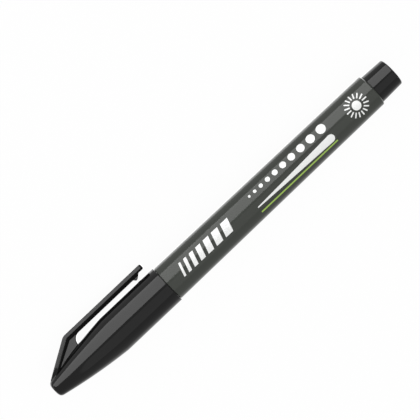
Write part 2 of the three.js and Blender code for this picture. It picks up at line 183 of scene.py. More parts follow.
def body_from(name, build):
    """An object whose mesh build() fills, drawn in the marker's own frame in millimetres."""
    mesh = bpy.data.meshes.new(name)
    shape = bmesh.new()
    build(shape)
    bmesh.ops.remove_doubles(shape, verts=shape.verts, dist=MERGE_DISTANCE)
    bmesh.ops.recalc_face_normals(shape, faces=shape.faces)
    shape.transform(lying @ Matrix.Scale(MM, 4))
    shape.to_mesh(mesh)
    shape.free()
    made = bpy.data.objects.new(name, mesh)
    bpy.context.scene.collection.objects.link(made)
    return made


def skin(shape, rings, ends="caps"):
    """Joins rings of points with faces. Ends are capped, joined to each other, or left."""
    verts = [[shape.verts.new(point) for point in ring] for ring in rings]
    pairs = list(zip(verts, verts[1:]))
    if ends == "joined":
        pairs.append((verts[-1], verts[0]))
    sides = len(rings[0])
    for first, second in pairs:
        for i in range(sides):
            j = (i + 1) % sides
            shape.faces.new((first[i], first[j], second[j], second[i]))
    if ends == "caps":
        shape.faces.new(reversed(verts[0]))
        shape.faces.new(verts[-1])


def turned(name, outline):
    """A body turned about the axis, from an outline of distances along it and radii. The
    outline closes on itself, or starts and ends on the axis."""
    on_axis = outline[0].y < ON_AXIS
    angles = [2 * math.pi * side / TURNED_SIDES for side in range(TURNED_SIDES)]

    def build(shape):
        rings = []
        for point in outline:
            radius = max(point.y, AXIS_RADIUS)
            rings.append([(point.x, radius * math.sin(a), radius * math.cos(a)) for a in angles])
        skin(shape, rings, ends="open" if on_axis else "joined")

    return body_from(name, build)


def bar(name, start, end, width, angle):
    """A bar along the axis, turned about it. Each end is (x, inner, outer radius)."""
    spin = Matrix.Rotation(angle, 3, "X")

    def build(shape):
        rings = []
        for x, inner, outer in (start, end):
            corners = ((inner, 1), (inner, -1), (outer, -1), (outer, 1))
            rings.append([spin @ Vector((x, r, side * width / 2)) for r, side in corners])
        skin(shape, rings)

    return body_from(name, build)


def joined(body, other, operation="UNION"):
    """Joins the other body to this one, or cuts it away, and removes the other one."""
    modifier = body.modifiers.new("join", "BOOLEAN")
    modifier.operation = operation
    modifier.solver = "EXACT"
    modifier.object = other
    bpy.context.view_layer.update()
    result = body.evaluated_get(bpy.context.evaluated_depsgraph_get())
    mesh = bpy.data.meshes.new_from_object(result)
    body.modifiers.clear()
    body.data = mesh
    bpy.data.objects.remove(other)


def smoothed(body):
    """Shades a body smooth, with its corners kept sharp."""
    body.data.shade_smooth()
    body.data.set_sharp_from_angle(angle=SMOOTH_BELOW)
    return body


def put_in(body, material, stands_for, rides_on):
    """Gives a finished body its material and its place in the frame."""
    body.data.materials.clear()
    body.data.materials.append(material)
    if stands_for:
        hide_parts(stands_for)
    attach(body, rides_on)


def node(tree, kind, inputs=None, **settings):
    """A shader node with its settings, and with each named input set or linked."""
    made = tree.nodes.new(kind)
    for key, value in settings.items():
        setattr(made, key, value)
    for key, value in (inputs or {}).items():
        if isinstance(value, bpy.types.NodeSocket):
            tree.links.new(value, made.inputs[key])
        else:
            made.inputs[key].default_value = value
    return made


def new_effect(name, inputs, outputs):
    """A node group with these inputs, named with their first values, and these outputs."""
    tree = bpy.data.node_groups.new(name, "ShaderNodeTree")
    for label, value in inputs.items():
        socket = tree.interface.new_socket(
            name=label, in_out="INPUT", socket_type="NodeSocketFloat"
        )
        socket.default_value = value
    for label in outputs:
        tree.interface.new_socket(name=label, in_out="OUTPUT", socket_type="NodeSocketFloat")
    return tree, node(tree, "NodeGroupInput"), node(tree, "NodeGroupOutput")


def along_marker(tree, stretch):
    """Texture coordinates in the marker's own frame, in millimetres, scaled along each axis."""
    inverse = lying.inverted()
    texture = node(tree, "ShaderNodeTexCoord")
    straight = node(
        tree,
        "ShaderNodeMapping",
        {
            "Vector": texture.outputs["Object"],
            "Location": inverse.translation / MM,
            "Rotation": inverse.to_euler(),
            "Scale": (1 / MM,) * 3,
        },
    )
    scaled = node(tree, "ShaderNodeVectorMath", operation="MULTIPLY")
    tree.links.new(straight.outputs["Vector"], scaled.inputs[0])
    scaled.inputs[1].default_value = stretch
    return scaled.outputs["Vector"]


def math_node(tree, operation, first, second, third=0.0):
    made = node(tree, "ShaderNodeMath", {0: first, 1: second, 2: third}, operation=operation)
    return made.outputs[0]


def ranged(tree, value, start=(0.0, 1.0), end=(0.0, 1.0)):
    """A value carried over from one range to another, and held inside it."""
    limits = {"From Min": start[0], "From Max": start[1], "To Min": end[0], "To Max": end[1]}
    return node(tree, "ShaderNodeMapRange", {"Value": value, **limits}).outputs["Result"]


def mixed_colour(tree, share, first, second):
    """A colour between two others; its sockets 6 and 7 are the two colours and 2 the result."""
    made = node(tree, "ShaderNodeMix", {0: share, 6: first, 7: second}, data_type="RGBA")
    return made.outputs[2]


def bumped(tree, height, distance):
    """A normal roughened by a height of the given depth in metres."""
    made = node(tree, "ShaderNodeBump", {"Height": height, "Strength": 1.0, "Distance": distance})
    return made.outputs["Normal"]


def noise(tree, coordinates, detail):
    inputs = {"Vector": coordinates, "Scale": 1.0, "Detail": detail}
    return node(tree, "ShaderNodeTexNoise", inputs).outputs["Fac"]


def fine_noise(tree, stretch, detail):
    """Noise whose frequency per millimetre is given along each axis of the marker."""
    return noise(tree, along_marker(tree, stretch), detail)


def moulded_skin_effect():
    """The faint flow marks and orange peel that a polished mould leaves on plastic."""
    tree, given, out = new_effect(
        "moulded_skin", {"Flow": 1.0, "Peel": 1.0}, ("Height", "Tone")
    )
    flow = fine_noise(tree, FLOW_STRETCH, detail=3.0)
    peel = fine_noise(tree, PEEL_STRETCH, detail=2.0)
    drawn = math_node(tree, "MULTIPLY", flow, given.outputs["Flow"])
    height = math_node(tree, "MULTIPLY_ADD", peel, given.outputs["Peel"], drawn)
    tree.links.new(height, out.inputs["Height"])
    tree.links.new(flow, out.inputs["Tone"])
    return tree


def hairlines_effect():
    """Hairline scratches from a pocket and a hand, in two directions along the marker."""
    tree, given, out = new_effect("hairlines", {"Amount": 0.5}, ("Marks",))
    total = 0.0
    for lean in HAIRLINE_LEANS:
        coordinates = along_marker(tree, HAIRLINE_STRETCH)
        inputs = {"Vector": coordinates, "Rotation": (0, lean, lean)}
        leaning = node(tree, "ShaderNodeMapping", inputs).outputs["Vector"]
        thin = ranged(tree, noise(tree, leaning, detail=1.0), HAIRLINE_EDGE)
        total = math_node(tree, "ADD", thin, total)
    marks = math_node(tree, "MULTIPLY", total, given.outputs["Amount"])
    tree.links.new(marks, out.inputs["Marks"])
    return tree


def worn_edge_effect():
    """Edges that handling has polished pale, broken up along their length."""
    tree, given, out = new_effect("worn_edge", {"Amount": 0.5}, ("Edge",))
    geometry = node(tree, "ShaderNodeNewGeometry")
    sharp = ranged(tree, geometry.outputs["Pointiness"], WORN_POINTINESS)
    patches = fine_noise(tree, WORN_STRETCH, detail=3.0)
    broken = math_node(tree, "MULTIPLY", sharp, patches)
    edge = math_node(tree, "MULTIPLY", broken, given.outputs["Amount"])
    tree.links.new(edge, out.inputs["Edge"])
    return tree


moulded_skin = moulded_skin_effect()
hairlines = hairlines_effect()
worn_edge = worn_edge_effect()


def placed_effect(tree, effect, **values):
    made = node(tree, "ShaderNodeGroup", node_tree=effect)
    for label, value in values.items():
        made.inputs[label].default_value = value
    return made


def new_material(name):
    """A material with its tree, its shader and nothing else."""
    material = bpy.data.materials.new(name)
    material.use_nodes = True
    tree = material.node_tree
    tree.nodes.clear()
    shader = node(tree, "ShaderNodeBsdfPrincipled")
    surface = node(tree, "ShaderNodeOutputMaterial")
    tree.links.new(shader.outputs["BSDF"], surface.inputs["Surface"])
    return material, tree, shader


def moulded_plastic(name, deep, pale, roughness, scuffed, peel, flow, marks, wear):
    """Solid coloured plastic: its tone drifts with the flow, scuffs are paler and duller."""
    material, tree, shader = new_material(name)
    skin_marks = placed_effect(tree, moulded_skin, Flow=flow, Peel=peel)
    scratches = placed_effect(tree, hairlines, Amount=marks)
    edges = placed_effect(tree, worn_edge, Amount=wear)
    worn = math_node(tree, "ADD", scratches.outputs["Marks"], edges.outputs["Edge"])
    drift = math_node(tree, "MULTIPLY_ADD", skin_marks.outputs["Tone"], TONE_DRIFT, worn)
    gloss = ranged(tree, worn, end=(roughness, scuffed))
    relief = bumped(tree, skin_marks.outputs["Height"], SKIN_DEPTH)
    tree.links.new(mixed_colour(tree, drift, deep, pale), shader.inputs["Base Color"])
    tree.links.new(gloss, shader.inputs["Roughness"])
    tree.links.new(relief, shader.inputs["Normal"])
    shader.inputs["IOR"].default_value = PLASTIC_IOR
    return material


grey_plastic = moulded_plastic(
    "grey_plastic",
    GREY_GREEN,
    GREY_GREEN_PALE,
    roughness=0.12,
    scuffed=0.4,
    peel=1.0,
    flow=1.0,
    marks=0.25,
    wear=0.5,
)

barrel_chamfer_x = BARREL_LENGTH - BARREL_CHAMFER_LENGTH
barrel_end_radius = BARREL_REAR_RADIUS - BARREL_CHAMFER_DEPTH
barrel = turned(
    "barrel_tube",
    softened(
        [
            (0, bore_radius(0), 0),
            (0, BARREL_FRONT_RADIUS, BARREL_FRONT_ROUND),
            (barrel_chamfer_x, barrel_radius(barrel_chamfer_x), BARREL_SOFT_EDGE),
            (BARREL_LENGTH, barrel_end_radius, BARREL_SOFT_EDGE),
            (BARREL_LENGTH, bore_radius(BARREL_LENGTH), 0),
        ]
    ),
)
for rib in range(RIB_COUNT):
    rib_start = (RIB_START, RIB_INNER_RADIUS, bore_radius(RIB_START) + BARREL_WALL / 2)
    rib_end = (RIB_END, RIB_INNER_RADIUS, bore_radius(RIB_END) + BARREL_WALL / 2)
    rib_angle = 2 * math.pi * rib / RIB_COUNT
    joined(barrel, bar("rib", rib_start, rib_end, RIB_WIDTH, rib_angle))
put_in(smoothed(barrel), grey_plastic, "barrel", "pen")

# Print: white and green ink, screen-printed on the barrel after moulding. The design shows what
# the nib draws: bars, dots that grow, a stroke that widens, a thin line, and rays round a dot.
INK_FILM = 0.014
INK_ROOT = 0.03
PRINT_CELL = 0.4
PRINT_COLUMN = 4.0
DISC_SIDES = 48
STROKE_COLUMNS = 90
STROKE_ROWS = 8
RAY_ROWS = 5
BARS_START = 5.2
BARS_BOTTOM = -1.95
BARS_HEIGHT = 4.2
BARS_SLANT = math.radians(17)
BAR_WIDTHS = (0.75, 1.1, 1.45, 1.8, 2.15, 2.5, 2.85)
BAR_GAP = 1.2
ROWS_START = 35.0
ROWS_END = 66.0
DOT_ROW = 2.25
DOT_COUNT = 10
SMALLEST_DOT = 0.8
LARGEST_DOT = 3.1
STROKE_ROW = -2.05
STROKE_START = 0.35
STROKE_END = 2.7
LINE_ROW = -4.35
LINE_WIDTH = 0.55
RAYS_X = 76.9
RAYS_ROW = -0.1
RAYS_DOT = 1.45
RAY_COUNT = 16
RAY_START = 2.15
RAY_END = 3.85
RAY_WIDTH = 0.42
WHITE_INK = (0.90, 0.91, 0.90, 1)
GREEN_INK = (0.34, 0.53, 0.085, 1)
INK_WEAVE = (7.0, 7.0, 7.0)
INK_WEAVE_DEPTH = 0.000003
INK_THINNED = 0.93
INK_ROUGHNESS = 0.42


def on_barrel(x, row, lift):
    """A point on the barrel, its row measured round the barrel from the side that shows."""
    radius = barrel_radius(x)
    angle = row / radius
    return (x, (radius + lift) * math.sin(angle), (radius + lift) * math.cos(angle))


def print_patch(shape, outline, across, up, wraps=False):
    """One printed motif, as a thin closed film. outline(u, v) gives its place and row."""
    columns = across if wraps else across + 1
    rows = []
    for j in range(up + 1):
        rows.append([outline(i / across, j / up) for i in range(columns)])
    films = []
    for lift in (INK_FILM, -INK_ROOT):
        films.append([[shape.verts.new(on_barrel(x, row, lift)) for x, row in r] for r in rows])
    top, bottom = films
    for j in range(up):
        for i in range(across):
            k = (i + 1) % columns
            shape.faces.new((top[j][i], top[j][k], top[j + 1][k], top[j + 1][i]))
            shape.faces.new((bottom[j][i], bottom[j + 1][i], bottom[j + 1][k], bottom[j][k]))
    rim = [(0, i, 0, (i + 1) % columns) for i in range(across)]
    rim += [(up, i, up, (i + 1) % columns) for i in range(across)]
    if not wraps:
        rim += [(j, 0, j + 1, 0) for j in range(up)]
        rim += [(j, across, j + 1, across) for j in range(up)]
    for a, b, c, d in rim:
        shape.faces.new((top[a][b], top[c][d], bottom[c][d], bottom[a][b]))


def print_bar(shape, x, row, width, height, slant=0.0):
    def outline(u, v):
        return x + u * width + v * height * math.tan(slant), row + v * height

    columns = max(1, round(width / PRINT_COLUMN))
    print_patch(shape, outline, columns, max(2, round(height / PRINT_CELL)))


def print_disc(shape, x, row, radius):
    def outline(u, v):
        reach = lerp(radius, 0, v)
        return x + reach * math.cos(2 * math.pi * u), row + reach * math.sin(2 * math.pi * u)

    print_patch(shape, outline, DISC_SIDES, max(2, round(radius / PRINT_CELL)), wraps=True)


def print_stroke(shape, start, end, row, thin, thick):
    """A stroke that widens along the barrel and has round ends."""

    def outline(u, v):
        share = (1 - math.cos(math.pi * u)) / 2
        x = lerp(start, end, share)
        past_start = max(0.0, 1 - (x - start) / (thin / 2))
        past_end = max(0.0, 1 - (end - x) / (thick / 2))
        width = lerp(thin, thick, share) * math.sqrt(1 - max(past_start, past_end) ** 2)
        return x, row + (v - 0.5) * width

    print_patch(shape, outline, STROKE_COLUMNS, STROKE_ROWS)


def print_ray(shape, x, row, angle):
    def outline(u, v):
        reach = lerp(RAY_START, RAY_END, v)
        side = (u - 0.5) * RAY_WIDTH
        return (
            x + reach * math.cos(angle) - side * math.sin(angle),
            row + reach * math.sin(angle) + side * math.cos(angle),
        )

    print_patch(shape, outline, 1, RAY_ROWS)


def white_print(shape):
    x = BARS_START
    for width in BAR_WIDTHS:
        print_bar(shape, x, BARS_BOTTOM, width, BARS_HEIGHT, BARS_SLANT)
        x += width + BAR_GAP
    dot_sizes = [lerp(SMALLEST_DOT, LARGEST_DOT, i / (DOT_COUNT - 1)) for i in range(DOT_COUNT)]
    dot_gap = (ROWS_END - ROWS_START - sum(dot_sizes)) / (DOT_COUNT - 1)
    x = ROWS_START
    for size in dot_sizes:
        print_disc(shape, x + size / 2, DOT_ROW, size / 2)
        x += size + dot_gap
    print_stroke(shape, ROWS_START, ROWS_END, STROKE_ROW, STROKE_START, STROKE_END)
    print_disc(shape, RAYS_X, RAYS_ROW, RAYS_DOT)
    for ray in range(RAY_COUNT):
        print_ray(shape, RAYS_X, RAYS_ROW, 2 * math.pi * ray / RAY_COUNT)


def green_print(shape):
    print_bar(shape, ROWS_START, LINE_ROW, ROWS_END - ROWS_START, LINE_WIDTH)


def printed_ink(name, colour):
    """A matt film of ink, a little uneven where the screen laid it down."""
    material, tree, shader = new_material(name)
    weave = fine_noise(tree, INK_WEAVE, detail=2.0)
    thin = [channel * INK_THINNED for channel in colour[:3]] + [1]
    tree.links.new(mixed_colour(tree, weave, thin, colour), shader.inputs["Base Color"])
    tree.links.new(bumped(tree, weave, INK_WEAVE_DEPTH), shader.inputs["Normal"])
    shader.inputs["Roughness"].default_value = INK_ROUGHNESS
    return material


for ink_name, ink_colour, ink_build in (
    ("white_ink", WHITE_INK, white_print),
    ("green_ink", GREEN_INK, green_print),
):
    film = body_from(ink_name.replace("ink", "print"), ink_build)
    put_in(smoothed(film), printed_ink(ink_name, ink_colour), None, "pen")

# Nose section: the slimmer grip part in the same plastic, pressed into the barrel by its
# spigot. It carries the snap bead, the land that the inner cap seals on, and the nib's holder.
PRESS_CLEARANCE = 0.05
SEAT_CLEARANCE = 0.1
SECTION_LENGTH = 20.65
SECTION_REAR_RADIUS = 5.4
SECTION_FRONT_RADIUS = 5.07
SECTION_WALL = 1.05
SPIGOT_LENGTH = 8.0
RECESS_WIDTH = 0.3
RECESS_DEPTH = 0.25
SNAP_BEAD_X = -3.15
SNAP_BEAD_WIDTH = 0.85
SNAP_BEAD_HEIGHT = 0.12
SNAP_GROOVE_WIDTH = 0.3
SNAP_GROOVE_DEPTH = 0.1
SHOULDER_LENGTH = 0.35
LAND_RADIUS = 4.55
LAND_LENGTH = 0.98
LAND_STEP = 0.17
CONE_LENGTH = 6.22
HOLDER_LENGTH = 5.85
HOLDER_WALL = 0.42
HOLDER_CHAMFER = 0.3
CHAMBER_END_WALL = 1.4
VENT_COUNT = 3
VENT_WIDTH = 0.7
VENT_DEPTH = 0.2
NIB_RADIUS = 2.6
SECTION_SOFT_EDGE = 0.1
SPIGOT_ROUND = 0.2
RECESS_ROUND = 0.06
GROOVE_ROUND = 0.05
SHOULDER_ROUND = 0.15
CONE_END_ROUND = 0.6
HOLDER_TIP_ROUND = 0.04

shoulder_x = -SECTION_LENGTH
land_x = shoulder_x - SHOULDER_LENGTH
cone_x = land_x - LAND_LENGTH
holder_x = cone_x - CONE_LENGTH
holder_front_x = holder_x - HOLDER_LENGTH
nib_bore_radius = NIB_RADIUS + PRESS_CLEARANCE
holder_radius = nib_bore_radius + HOLDER_WALL
chamber_x = shoulder_x + CHAMBER_END_WALL
chamber_radius = SECTION_FRONT_RADIUS - SECTION_WALL


def section_radius(x):
    return lerp(SECTION_REAR_RADIUS, SECTION_FRONT_RADIUS, x / shoulder_x)


snap_bead_radius = section_radius(SNAP_BEAD_X) + SNAP_BEAD_HEIGHT
recess_x = -SEAT_CLEARANCE - RECESS_WIDTH
bead_rear_x = SNAP_BEAD_X + SNAP_BEAD_WIDTH / 2
bead_front_x = SNAP_BEAD_X - SNAP_BEAD_WIDTH / 2
groove_rear_x = bead_rear_x + SNAP_GROOVE_WIDTH
groove_front_x = bead_front_x - SNAP_GROOVE_WIDTH
section_back = [
    (SPIGOT_LENGTH, chamber_radius, 0),
    (SPIGOT_LENGTH, bore_radius(SPIGOT_LENGTH) - PRESS_CLEARANCE, SPIGOT_ROUND),
    (-SEAT_CLEARANCE, bore_radius(0) - PRESS_CLEARANCE, 0),
    (-SEAT_CLEARANCE, SECTION_REAR_RADIUS - RECESS_DEPTH, 0),
    (recess_x, SECTION_REAR_RADIUS - RECESS_DEPTH, 0),
    (recess_x, section_radius(recess_x), RECESS_ROUND),
    (groove_rear_x, section_radius(groove_rear_x), GROOVE_ROUND),
    (bead_rear_x, section_radius(bead_rear_x) - SNAP_GROOVE_DEPTH, 0),
]
section_front = [
    (bead_front_x, section_radius(bead_front_x) - SNAP_GROOVE_DEPTH, 0),
    (groove_front_x, section_radius(groove_front_x), GROOVE_ROUND),
    (shoulder_x, SECTION_FRONT_RADIUS, SHOULDER_ROUND),
    (land_x, LAND_RADIUS, SECTION_SOFT_EDGE),
    (cone_x, LAND_RADIUS, SECTION_SOFT_EDGE),
    (cone_x, LAND_RADIUS - LAND_STEP, 0),
    (holder_x, holder_radius, CONE_END_ROUND),
    (holder_front_x + HOLDER_CHAMFER, holder_radius, SECTION_SOFT_EDGE),
    (holder_front_x, holder_radius - HOLDER_CHAMFER, HOLDER_TIP_ROUND),
    (holder_front_x, nib_bore_radius, 0),
    (chamber_x, nib_bore_radius, 0),
    (chamber_x, chamber_radius, 0),
]
bead_top = (SNAP_BEAD_X, snap_bead_radius)
bead_outline = quadratic(
    section_back[-1][:2], (bead_rear_x, snap_bead_radius), bead_top, ARC_STEPS
) + quadratic(bead_top, (bead_front_x, snap_bead_radius), section_front[0][:2], ARC_STEPS)
section_outline = softened(section_back, closed=False) + bead_outline[:-1]
section_outline += softened(section_front, closed=False)
nose_section = turned("nose_part", section_outline)
for vent in range(VENT_COUNT):
    vent_start = (holder_front_x - VENT_WIDTH, 0, nib_bore_radius + VENT_DEPTH)
    vent_end = (chamber_x + VENT_WIDTH, 0, nib_bore_radius + VENT_DEPTH)
    vent_angle = 2 * math.pi * vent / VENT_COUNT
    joined(nose_section, bar("vent", vent_start, vent_end, VENT_WIDTH, vent_angle), "DIFFERENCE")
put_in(smoothed(nose_section), grey_plastic, "nose_section", "pen")

# Nib: one rod of bonded polyester fibre, ground to a bullet point and soaked with black ink.
# It is pushed into the holder, and its pointed tail reaches into the reservoir.
NIB_POINT_LENGTH = 5.4
NIB_TIP_FLAT = 0.12
NIB_TAIL_REACH = 7.5
NIB_TAIL_TAPER = 3.0
NIB_TAIL_RADIUS = 1.1
NIB_POINT_STEPS = 24
NIB_STEP_GROWTH = 1.3
NIB_FIRST_STEP = 1.6 * NIB_TIP_FLAT
NIB_ROD_START = 0.5
NIB_TAPER_ROUND = 0.4
NIB_TAIL_ROUND = 0.2
INKED_FIBRE = (0.0085, 0.0043, 0.0036, 1)
INKED_FIBRE_PALE = (0.017, 0.0092, 0.0080, 1)
INK_POOLS = (0.5, 0.5, 0.5)
STRAND_TONES = (0.12, 0.42)
DRIEST_ROUGHNESS = 0.95
WET_FIBRE_IOR = 1.12

nib_tip_x = holder_front_x - NIB_POINT_LENGTH
nib_tail_x = chamber_x + SEAT_CLEARANCE + NIB_TAIL_REACH
nib_arc_radius = (NIB_RADIUS**2 + NIB_POINT_LENGTH**2) / (2 * NIB_RADIUS)
nib_outline = [Vector((nib_tip_x + NIB_TIP_FLAT, 0))]
for nib_step in range(NIB_POINT_STEPS + 1):
    nib_share = (nib_step / NIB_POINT_STEPS) ** NIB_STEP_GROWTH
    nib_back = lerp(NIB_FIRST_STEP, NIB_POINT_LENGTH, nib_share)
    nib_rise = math.sqrt(nib_arc_radius**2 - (NIB_POINT_LENGTH - nib_back) ** 2)
    nib_outline.append(Vector((nib_tip_x + nib_back, NIB_RADIUS - nib_arc_radius + nib_rise)))
nib_outline += softened(
    [
        (holder_front_x + NIB_ROD_START, NIB_RADIUS, 0),
        (nib_tail_x - NIB_TAIL_TAPER, NIB_RADIUS, NIB_TAPER_ROUND),
        (nib_tail_x, NIB_TAIL_RADIUS, NIB_TAIL_ROUND),
        (nib_tail_x, 0, 0),
    ],
    closed=False,
)


def inked_fibre(name, lengthwise, crosswise, depth, gloss):
    """Strands laid along the rod, their tips and sides wet with black ink."""
    material, tree, shader = new_material(name)
    strands = fine_noise(tree, (lengthwise, crosswise, crosswise), detail=4.0)
    pools = fine_noise(tree, INK_POOLS, detail=2.0)
    lit = math_node(tree, "MULTIPLY", strands, pools)
    spread = ranged(tree, lit, STRAND_TONES)
    colour = mixed_colour(tree, spread, INKED_FIBRE, INKED_FIBRE_PALE)
    wet = ranged(tree, pools, end=(gloss, DRIEST_ROUGHNESS))
    tree.links.new(colour, shader.inputs["Base Color"])
    tree.links.new(wet, shader.inputs["Roughness"])
    tree.links.new(bumped(tree, strands, depth), shader.inputs["Normal"])
    shader.inputs["IOR"].default_value = WET_FIBRE_IOR
    return material


nib = turned("nib_rod", nib_outline)
nib_fibre = inked_fibre("nib_fibre", lengthwise=1.2, crosswise=14.0, depth=0.00004, gloss=0.5)
put_in(smoothed(nib), nib_fibre, "nib", "pen")

# Ink reservoir: a rod of loose fibre that holds the ink, wrapped in a thin clear film. Both
# slide into the barrel from behind and stay out of sight, so the plain pieces stay.
FILM_CLEAR = (0.55, 0.57, 0.58, 1)
FILM_CREASES = (0.4, 2.5, 2.5)
FILM_CREASE_DEPTH = 0.00003
FILM_ROUGHNESS = 0.12
FILM_ALPHA = 0.35

reservoir_fibre = inked_fibre(
    "reservoir_fibre", lengthwise=0.35, crosswise=9.0, depth=0.00008, gloss=0.7
)
clear_film, film_tree, film_shader = new_material("clear_film")
film_creases = fine_noise(film_tree, FILM_CREASES, detail=3.0)
film_relief = bumped(film_tree, film_creases, FILM_CREASE_DEPTH)
film_tree.links.new(film_relief, film_shader.inputs["Normal"])
film_shader.inputs["Base Color"].default_value = FILM_CLEAR
film_shader.inputs["Roughness"].default_value = FILM_ROUGHNESS
film_shader.inputs["Alpha"].default_value = FILM_ALPHA
for inner_node, inner_material in (
    ("ink_reservoir", reservoir_fibre),
    ("reservoir_film", clear_film),
):
    inner_mesh = frame["nodes"][inner_node].data
    inner_mesh.materials.clear()
    inner_mesh.materials.append(inner_material)

# End plug: a black polypropylene cup with crossed fins, pressed into the back of the barrel
# after the reservoir. Its step meets the foot of the barrel's chamfer.
PLUG_STEP = 0.07
PLUG_DRAFT = 0.28
PLUG_EDGE_ROUND = 0.55
PLUG_SPIGOT_LENGTH = 7.0
PLUG_WALL = 0.95
PLUG_END_WALL = 1.4
PLUG_FIN_WIDTH = 0.8
PLUG_LEAD_IN = 0.4
PLUG_FRONT_ROUND = 0.08
PLUG_SPIGOT_ROUND = 0.1
PLUG_FLOOR_ROUND = 0.3
BLACK = (0.0055, 0.0055, 0.0056, 1)
BLACK_PALE = (0.013, 0.013, 0.0131, 1)

plug_start_x = BARREL_LENGTH + SEAT_CLEARANCE
plug_end_x = BARREL_LENGTH + PLUG_LENGTH
plug_spigot_x = BARREL_LENGTH - PLUG_SPIGOT_LENGTH
plug_front_radius = barrel_end_radius - PLUG_STEP
plug_rear_radius = plug_front_radius - PLUG_DRAFT
spigot_radius = bore_radius(BARREL_LENGTH) - PRESS_CLEARANCE
cup_radius = spigot_radius - PLUG_WALL
cup_x = plug_end_x - PLUG_END_WALL
end_plug = turned(
    "plug_cup",
    softened(
        [
            (plug_end_x, 0, 0),
            (plug_end_x, plug_rear_radius, PLUG_EDGE_ROUND),
            (plug_start_x, plug_front_radius, PLUG_FRONT_ROUND),
            (plug_start_x, spigot_radius, 0),
            (plug_spigot_x + PLUG_LEAD_IN, spigot_radius, PLUG_SPIGOT_ROUND),
            (plug_spigot_x, spigot_radius - PLUG_LEAD_IN, PLUG_SPIGOT_ROUND),
            (plug_spigot_x, cup_radius, PLUG_SPIGOT_ROUND),
            (cup_x, cup_radius, PLUG_FLOOR_ROUND),
            (cup_x, 0, 0),
        ],
        closed=False,
    ),
)
fin_root = cup_radius + PLUG_WALL / 4
for fin_angle in (0, math.pi / 2):
    fin_start = (plug_spigot_x, -fin_root, fin_root)
    fin_end = (cup_x + PLUG_END_WALL / 2, -fin_root, fin_root)
    joined(end_plug, bar("fin", fin_start, fin_end, PLUG_FIN_WIDTH, fin_angle))
black_plastic = moulded_plastic(
    "black_plastic",
    BLACK,
    BLACK_PALE,
    roughness=0.07,
    scuffed=0.35,
    peel=0.6,
    flow=0.8,
    marks=0.2,
    wear=0.5,
)
put_in(smoothed(end_plug), black_plastic, "end_plug", "pen")

# Inner cap: a cup of soft milky polyethylene, pressed to the bottom of the cap. Its lip grips
# the land on the nose section, so that the ink's alcohol stays in; ink has stained its floor.
CAP_GAP = 0.1
CAP_WALL = 0.84
CAP_TAPER_WALL = 1.13
CAP_NOSE_WALL = 2.09
CAP_NOSE_RADIUS = 2.9
CAP_NOSE_CORNER = 1.3
CAP_NOSE_DOME = 0.14
CAP_TIP_SPACE = 4.2
INNER_CAP_WALL = 0.5
INNER_CAP_END_WALL = 0.6
INNER_CAP_CLEARANCE = 0.22
INNER_CAP_LIP_STEP = 0.25
SEAL_CLEARANCE = 0.06
SLIDE_CLEARANCE = 0.1
INNER_CAP_ROUND = 0.08
INNER_TAPER_END = 0.5
TAPER_STEPS = 40
MILKY = (0.66, 0.66, 0.60, 1)
INK_STAIN = (0.10, 0.085, 0.09, 1)
STAIN_STRETCH = (0.35, 0.9, 0.9)
STAIN_EDGE = (0.56, 0.68)
SOFT_SKIN_DEPTH = 0.00001
SOFT_ROUGHNESS = 0.45

cap_nose_x = nib_tip_x - CAP_TIP_SPACE - INNER_CAP_END_WALL - SEAT_CLEARANCE - CAP_NOSE_WALL
cap_bore = snap_bead_radius + SLIDE_CLEARANCE
cap_radius = cap_bore + CAP_WALL
taper_start_x = cap_nose_x + CAP_NOSE_CORNER
over_holder = (
    holder_radius + INNER_CAP_CLEARANCE + INNER_CAP_WALL + PRESS_CLEARANCE + CAP_TAPER_WALL
)
holder_share = (holder_front_x - taper_start_x) / (cone_x - taper_start_x)
taper_bulge = (over_holder - lerp(CAP_NOSE_RADIUS, cap_radius, holder_share)) / (
    4 * holder_share * (1 - holder_share)
)


def taper_radius(x):
    """The cap's outside over its taper, which swells in a shallow curve."""
    share = (x - taper_start_x) / (cone_x - taper_start_x)
    straight = lerp(CAP_NOSE_RADIUS, cap_radius, share)
    return straight + 4 * taper_bulge * share * (1 - share)


def taper(start, inset):
    """Outline of the taper, moved inwards, from a place behind the nose to its end."""
    points = []
    for step in range(TAPER_STEPS + 1):
        x = lerp(start, cone_x, step / TAPER_STEPS)
        points.append(Vector((x, taper_radius(x) - inset)))
    return points


inner_start = cap_nose_x + CAP_NOSE_WALL + SEAT_CLEARANCE
inner_floor = inner_start + INNER_CAP_END_WALL
inner_end = land_x - SEAT_CLEARANCE
outer_inset = CAP_TAPER_WALL + PRESS_CLEARANCE
inner_inset = outer_inset + INNER_CAP_WALL
lip_radius = LAND_RADIUS + SEAL_CLEARANCE
inner_outline = [Vector((inner_start, 0))]
inner_outline += taper(inner_start, outer_inset)
inner_outline += softened(
    [
        (inner_end, cap_radius - outer_inset, INNER_CAP_ROUND),
        (inner_end, lip_radius + INNER_CAP_LIP_STEP, INNER_CAP_ROUND),
        (inner_end - INNER_CAP_LIP_STEP, lip_radius, INNER_CAP_ROUND),
        (cone_x, lip_radius, INNER_CAP_ROUND),
    ],
    closed=False,
)
inner_outline += [Vector((cone_x - INNER_CAP_LIP_STEP, cap_radius - inner_inset))]
inner_wall = [p for p in taper(inner_floor, inner_inset) if p.x < cone_x - INNER_TAPER_END]
inner_outline += inner_wall[::-1]
inner_outline += [Vector((inner_floor, 0))]

